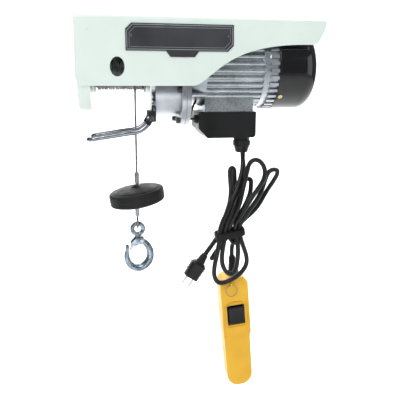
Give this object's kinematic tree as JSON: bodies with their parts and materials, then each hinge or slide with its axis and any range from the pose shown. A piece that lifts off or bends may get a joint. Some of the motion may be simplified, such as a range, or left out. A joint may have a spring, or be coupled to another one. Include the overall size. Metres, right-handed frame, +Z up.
{
  "type": "electric wire rope hoist",
  "caption": "Compact electric wire-rope hoist: channel frame with drum, gear case and finned motor, latched hook, and a hanging pendant control with plug cord.",
  "frame": {"origin": "centre of the frame's top mounting face, in the middle of its four bolt holes", "axes": "+Z up out of the mounting face, +X along the drum axis from the drum to the motor, +Y towards the back"},
  "size_m": [0.4, 0.1546, 0.6466],
  "materials": {
    "painted_frame": "satin powder coat",
    "name_plate": "satin print on sheet",
    "polished_steel": "machined",
    "drum_steel": "dull",
    "wire_rope": "stranded, lightly oiled",
    "bronze": "sintered",
    "cast_aluminium": "fine cast",
    "zinc_ring": "zinc plated",
    "gasket_paper": "fibre sheet",
    "black_steel": "black oxide",
    "motor_aluminium": "die cast, painted silver",
    "core_iron": "laminated",
    "copper": "enamelled wire",
    "brake_lining": "friction lining",
    "fan_plastic": "moulded",
    "gloss_black": "gloss enamel",
    "brass_screw": "yellow zinc",
    "black_plastic": "moulded, satin",
    "capacitor_can": "moulded",
    "chrome_lever": "bright",
    "crimp_aluminium": "pressed",
    "black_rubber": "moulded",
    "zinc_hook": "blue zinc plate",
    "yellow_plastic": "moulded, semi-gloss",
    "cable_black": "smooth PVC sheath",
    "plug_black": "moulded"
  },
  "bodies": {
    "root": {"frame_shell": "painted_frame", "drum_end_plate": "painted_frame", "drum_inner_plate": "painted_frame", "name_plate": "name_plate", "name_plate_rivets": "polished_steel", "rotor_bearings": "polished_steel", "lever_pin": "polished_steel", "pendant_screws": "polished_steel", "plug_blades": "polished_steel", "shaft_bushes": "bronze", "gear_case": "cast_aluminium", "front_end_shield": "cast_aluminium", "rear_end_shield": "cast_aluminium", "spacer_ring": "zinc_ring", "case_gasket": "gasket_paper", "lever_bracket": "black_steel", "flange_bolts": "black_steel", "motor_housing": "motor_aluminium", "stator_core": "core_iron", "stator_windings": "copper", "brake_pad": "brake_lining", "fan_cover": "gloss_black", "cover_screws": "brass_screw", "terminal_box": "black_plastic", "box_lid": "black_plastic", "cable_glands": "black_plastic", "switch_body": "black_plastic", "limit_switch": "black_plastic", "terminal_block": "black_plastic", "capacitor": "capacitor_can", "pendant_strain_relief": "black_rubber", "hank_tie": "black_rubber", "pendant_front": "yellow_plastic", "pendant_back": "yellow_plastic", "pendant_cable": "cable_black", "power_cord": "cable_black", "cord_hank": "cable_black", "limit_switch_cable": "cable_black", "plug_body": "plug_black"},
    "rotor": {"rotor_shaft": "polished_steel", "rotor_core": "core_iron", "fan": "fan_plastic", "brake_disc": "core_iron"},
    "layshaft": {"lay_shaft": "polished_steel", "lay_gear": "polished_steel"},
    "drum": {"drum": "drum_steel", "wound_rope": "wire_rope", "drum_shaft": "polished_steel", "rope_clamp_screw": "polished_steel", "output_gear": "polished_steel"},
    "hook_block": {"hoist_rope": "wire_rope", "rope_crimps": "crimp_aluminium", "rope_loop": "wire_rope", "stop_disc": "black_rubber"},
    "hook": {"hook": "zinc_hook", "latch_pin": "polished_steel"},
    "latch": {"hook_latch": "zinc_hook"},
    "lever": {"limit_lever": "chrome_lever"},
    "rocker": {"rocker": "black_plastic"},
    "ring": {"split_ring": "polished_steel"}
  },
  "joints": [
    {"name": "hook_travel", "type": "slide", "parent": "root", "child": "hook_block", "axis": [0, 0, -1], "range_m": [-0.059, 0.298], "deforming": ["hoist_rope"]},
    {"name": "rotor_spin", "type": "hinge", "parent": "root", "child": "rotor", "pos_m": [0, 0, -0.076], "axis": [1, 0, 0], "range_deg": [-2195, 11001]},
    {"name": "layshaft_spin", "type": "hinge", "parent": "root", "child": "layshaft", "pos_m": [0, 0, -0.1138], "axis": [1, 0, 0], "range_deg": [-1835, 367]},
    {"name": "drum_spin", "type": "hinge", "parent": "root", "child": "drum", "pos_m": [0, 0, -0.076], "axis": [1, 0, 0], "range_deg": [-88, 433]},
    {"name": "hook_swing", "type": "hinge", "parent": "hook_block", "child": "hook", "pos_m": [-0.11, -0.03965, -0.339], "axis": [0, 1, 0], "range_deg": [-50, 50]},
    {"name": "hook_latch_hinge", "type": "hinge", "parent": "hook", "child": "latch", "pos_m": [-0.104, -0.03965, -0.361], "axis": [0, 1, 0], "range_deg": [-35, 0], "stiffness_Nm_per_rad": 0.02, "springref_deg": 17.19},
    {"name": "limit_lever_hinge", "type": "hinge", "parent": "root", "child": "lever", "pos_m": [-0.086, -0.036, -0.157], "axis": [0, 1, 0], "range_deg": [0, 14], "stiffness_Nm_per_rad": 0.2, "springref_deg": -11.46},
    {"name": "rocker_tilt", "type": "hinge", "parent": "root", "child": "rocker", "pos_m": [0.05991, -0.0384, -0.50879], "axis": [0.9969, 0, 0.0785], "range_deg": [-9, 9], "stiffness_Nm_per_rad": 0.15},
    {"name": "split_ring_swing", "type": "hinge", "parent": "root", "child": "ring", "pos_m": [0.0493, -0.0495, -0.45044], "axis": [0.9969, 0, 0.0785], "range_deg": [-100, 4]}
  ],
  "couplings": [
    {"joint": "rotor_spin", "follows": "hook_travel", "rad_per_m": 643.13},
    {"joint": "layshaft_spin", "follows": "hook_travel", "rad_per_m": -107.19},
    {"joint": "drum_spin", "follows": "hook_travel", "rad_per_m": 25.221}
  ]
}
